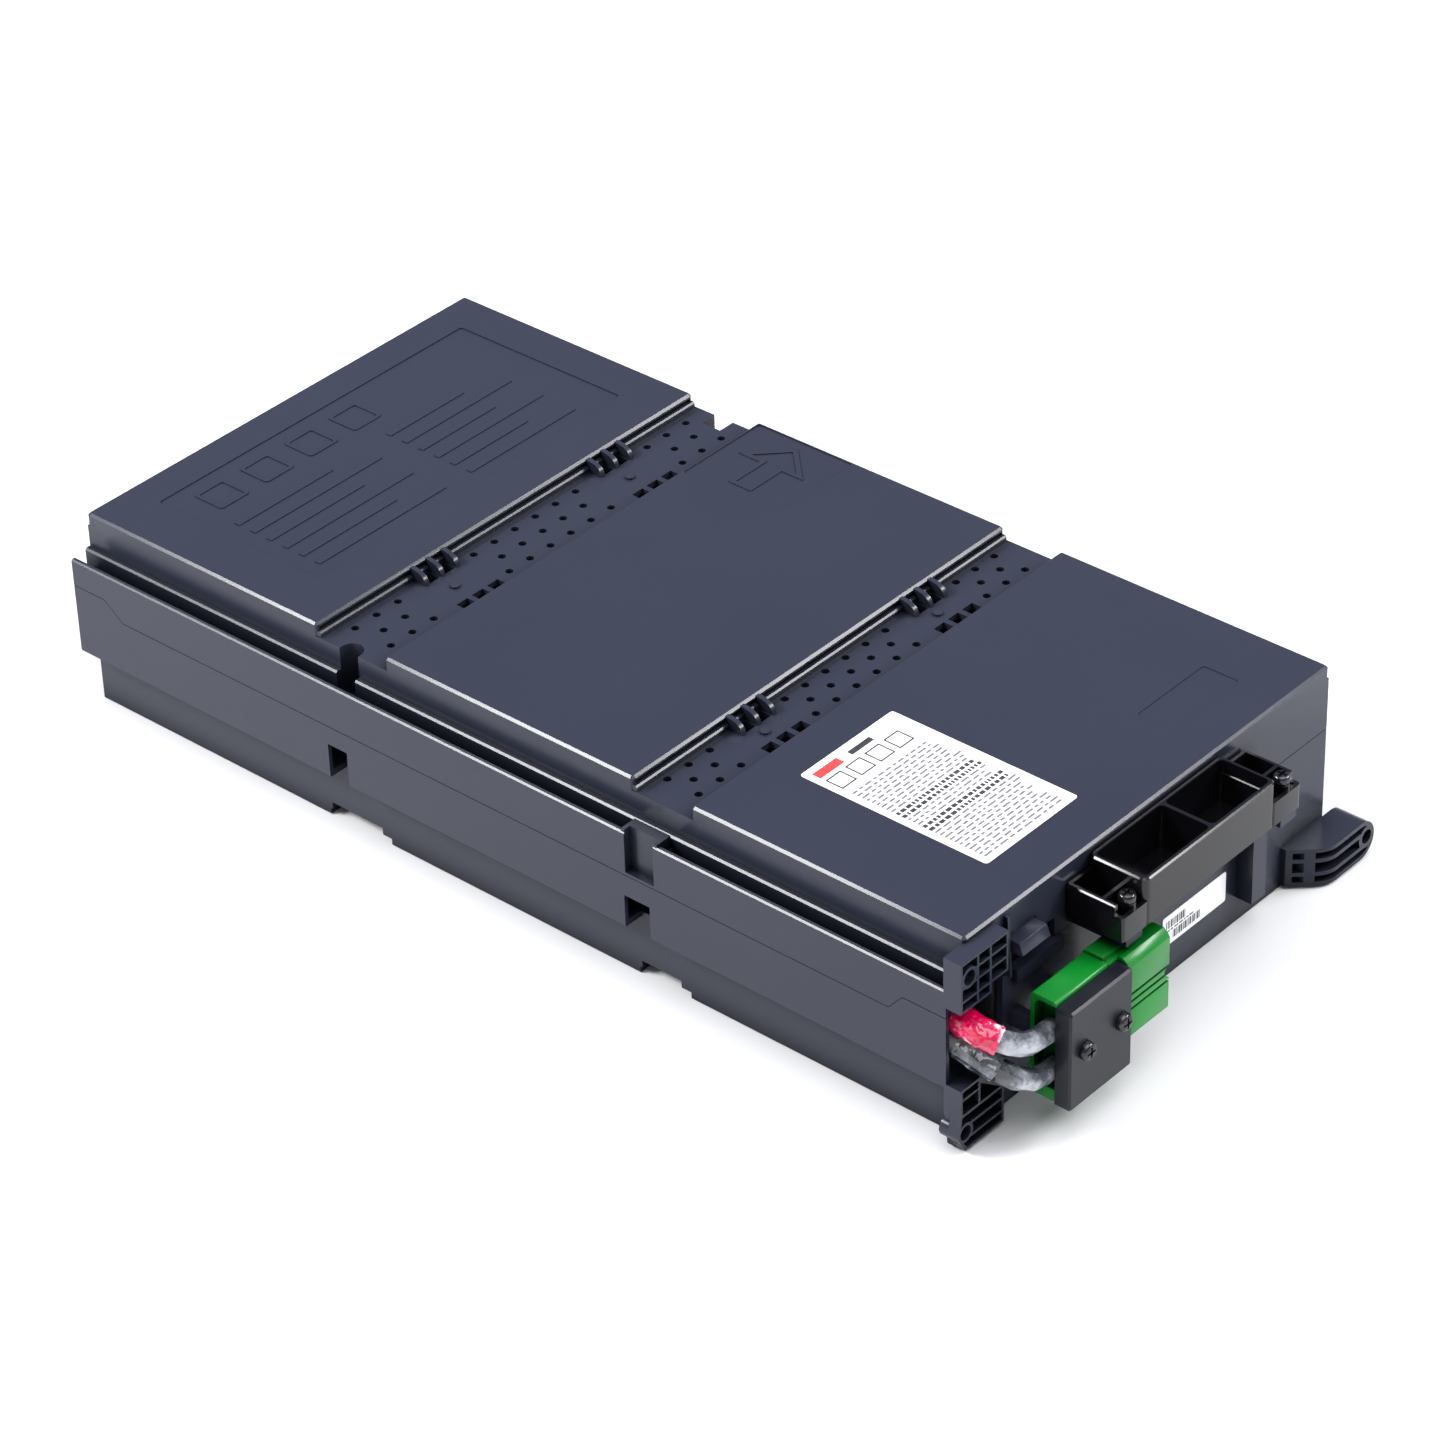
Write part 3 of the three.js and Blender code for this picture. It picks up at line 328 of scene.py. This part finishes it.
def crumple(name, strength, size):
    """Creases in a thin sleeve."""
    node = nodes[name]
    finer = node.modifiers.new("finer", "SUBSURF")
    finer.subdivision_type = "SIMPLE"
    finer.levels = 3
    finer.render_levels = 3
    texture = bpy.data.textures.new(name + "_creases", "CLOUDS")
    texture.noise_scale = size
    push = node.modifiers.new("creases", "DISPLACE")
    push.texture = texture
    push.texture_coords = "LOCAL"
    push.strength = strength
    push.mid_level = 0.5
    for wanted in (push, finer):
        node.modifiers.move(list(node.modifiers).index(wanted), 1)


# ---- print on the labels ---------------------------------------------------------------------
PRINT = 0.05 * MM  # how thick the ink stands on a label


def add_bars(name, bars, material):
    """One piece made of thin closed bars, each given by its two far corners."""
    mesh = bpy.data.meshes.new(name)
    shape = bmesh.new()
    for low, high in bars:
        size = [b - a for a, b in zip(low, high)]
        middle = [(a + b) / 2 for a, b in zip(low, high)]
        turn = Matrix.Translation(middle) @ Matrix.Diagonal((*size, 1))
        bmesh.ops.create_cube(shape, size=1, matrix=turn)
    shape.to_mesh(mesh)
    shape.free()
    mesh.materials.append(material)
    piece = bpy.data.objects.new(name, mesh)
    scene.collection.objects.link(piece)
    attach(piece, PACK)


def words(dice, start, end, longest):
    """Lengths of ink with gaps between them, like a line of small print."""
    place = start
    while place < end - longest:
        length = dice.uniform(0.35, 1) * longest
        yield place, place + length
        place += length + 0.25 * longest


def label_bar(x0, x1, y0, y1, z0):
    return (x0, y0, z0), (x1, y1, z0 + PRINT)


def open_square(x0, y0, size, line, z0):
    x1 = x0 + size
    y1 = y0 + size
    return [
        label_bar(x0, x1, y0, y0 + line, z0),
        label_bar(x0, x1, y1 - line, y1, z0),
        label_bar(x0, x0 + line, y0 + line, y1 - line, z0),
        label_bar(x1 - line, x1, y0 + line, y1 - line, z0),
    ]


BOLD_ROWS = (9, 10, 14, 15)
ROW_PITCH = 2.15 * MM


def print_rating_label():
    """A red block, a dark bar, four squares, then rows of words, some of them bold."""
    low, high = (Vector(v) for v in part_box("rating_label"))
    dice = random.Random(7)
    margin = 3 * MM
    left, right = low.x + margin, high.x - margin
    head = high.y - margin
    red = [label_bar(left, left + 13 * MM, head - 4 * MM, head, high.z)]
    add_bars("rating_print_red", red, INK_RED)
    black = []
    for i in range(4):
        black += open_square(left + i * 10.5 * MM, head - 14 * MM, 8 * MM, 0.7 * MM, high.z)
    black.append(label_bar(left + 18 * MM, left + 30 * MM, head - 3.4 * MM, head - 0.8 * MM, high.z))
    grey = []
    row_y = head - 18 * MM
    row = 0
    while row_y > low.y + margin:
        bold = row in BOLD_ROWS
        tall = (1.7 if bold else 0.95) * MM
        rows = black if bold else grey
        for x0, x1 in words(dice, left, right, (2.6 if bold else 4.4) * MM):
            rows.append(label_bar(x0, x1, row_y - tall, row_y, high.z))
        row_y -= ROW_PITCH * (1.25 if bold else 1)
        row += 1
    add_bars("rating_print_black", black, INK_BLACK)
    add_bars("rating_print_grey", grey, INK_GREY)


# Two rows of upright bars: where each starts and ends along the label, and its height span, in mm.
CODE_ROWS = ((2, 13, 7.2, 10.6), (6, 22, 1.8, 5.2))


def print_barcode_label():
    """Two rows of upright bars, with a line of words between them."""
    low = Vector(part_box("barcode_label")[0])
    y0 = low.y - PRINT
    dice = random.Random(11)
    bars = []
    for x_start, x_end, z_low, z_high in CODE_ROWS:
        place = x_start
        while place < x_end:
            width = dice.choice((0.3, 0.45, 0.8))
            bars.append(((low.x + place * MM, y0, low.z + z_low * MM),
                         (low.x + (place + width) * MM, low.y, low.z + z_high * MM)))
            place += width + dice.choice((0.35, 0.6))
    for x0, x1 in words(dice, low.x + 2 * MM, low.x + 20 * MM, 2.4 * MM):
        bars.append(((x0, y0, low.z + 5.9 * MM), (x1, low.y, low.z + 6.5 * MM)))
    add_bars("barcode_print", bars, INK_BLACK)


# ---- floor and light -------------------------------------------------------------------------
def make_floor():
    mesh = bpy.data.meshes.new("floor")
    reach = 6
    mesh.from_pydata([(-reach, -reach, 0), (reach, -reach, 0), (reach, reach, 0), (-reach, reach, 0)],
                     [], [(0, 1, 2, 3)])
    floor = bpy.data.objects.new("floor", mesh)
    scene.collection.objects.link(floor)
    floor.location.z = -0.5 * MM
    shader = Shader("floor", (0.72, 0.72, 0.73), 0.6)
    shader.tint(shader.noise(3, 3), [(0.3, (0.71, 0.71, 0.72)), (0.7, (0.74, 0.74, 0.75))])
    mesh.materials.append(shader.material)


LIGHT_AIM = Vector((0, 0, 50 * MM))


def softbox(name, direction, distance, width, height, power):
    data = bpy.data.lights.new(name, "AREA")
    data.shape = "RECTANGLE"
    data.size = width
    data.size_y = height
    data.energy = power
    light = bpy.data.objects.new(name, data)
    place = LIGHT_AIM + Vector(direction).normalized() * distance
    light.location = place
    light.rotation_euler = (place - LIGHT_AIM).to_track_quat("Z", "Y").to_euler()
    scene.collection.objects.link(light)


def make_world():
    """A pale surround, greyer on one side of the object and a little dimmer and bluer on the other."""
    world = bpy.data.worlds.new("studio")
    world.use_nodes = True
    tree = world.node_tree
    background = tree.nodes["Background"]
    direction = tree.nodes.new("ShaderNodeTexCoord")
    toward = tree.nodes.new("ShaderNodeVectorMath")
    toward.operation = "DOT_PRODUCT"
    toward.inputs[1].default_value = (0.743, 0.669, 0)
    ramp = tree.nodes.new("ShaderNodeValToRGB")
    stops = [(0.0, (0.4, 0.41, 0.44, 1)), (0.3, (0.36, 0.39, 0.48, 1)), (0.7, (0.32, 0.35, 0.46, 1))]
    ramp.color_ramp.elements.new(0.5)
    for element, (position, color) in zip(ramp.color_ramp.elements, stops):
        element.position = position
        element.color = color
    tree.links.new(direction.outputs["Generated"], toward.inputs[0])
    tree.links.new(toward.outputs["Value"], ramp.inputs["Fac"])
    tree.links.new(ramp.outputs["Color"], background.inputs["Color"])
    background.inputs["Strength"].default_value = 1.0
    scene.world = world


def make_light():
    make_world()
    softbox("left_rear", (-0.57, 0.55, 0.62), 2.2, 1.0, 0.35, 62)
    softbox("right_front", (0.61, -0.57, 0.55), 2.4, 1.2, 0.4, 46)
    softbox("overhead", (-0.1, -0.3, 1.0), 2.4, 2.2, 2.2, 52)


def set_tone():
    scene.view_settings.view_transform = "Standard"
    scene.view_settings.look = "None"
    scene.view_settings.exposure = 0
    scene.view_settings.gamma = 1


make_camera()
paint_cad_nodes()
shade_cad_nodes()
round_small_nodes()
crumple("positive_sleeve", 1.2 * MM, 4 * MM)
crumple("negative_sleeve", 1.0 * MM, 5 * MM)
print_rating_label()
print_barcode_label()
make_floor()
make_light()
set_tone()
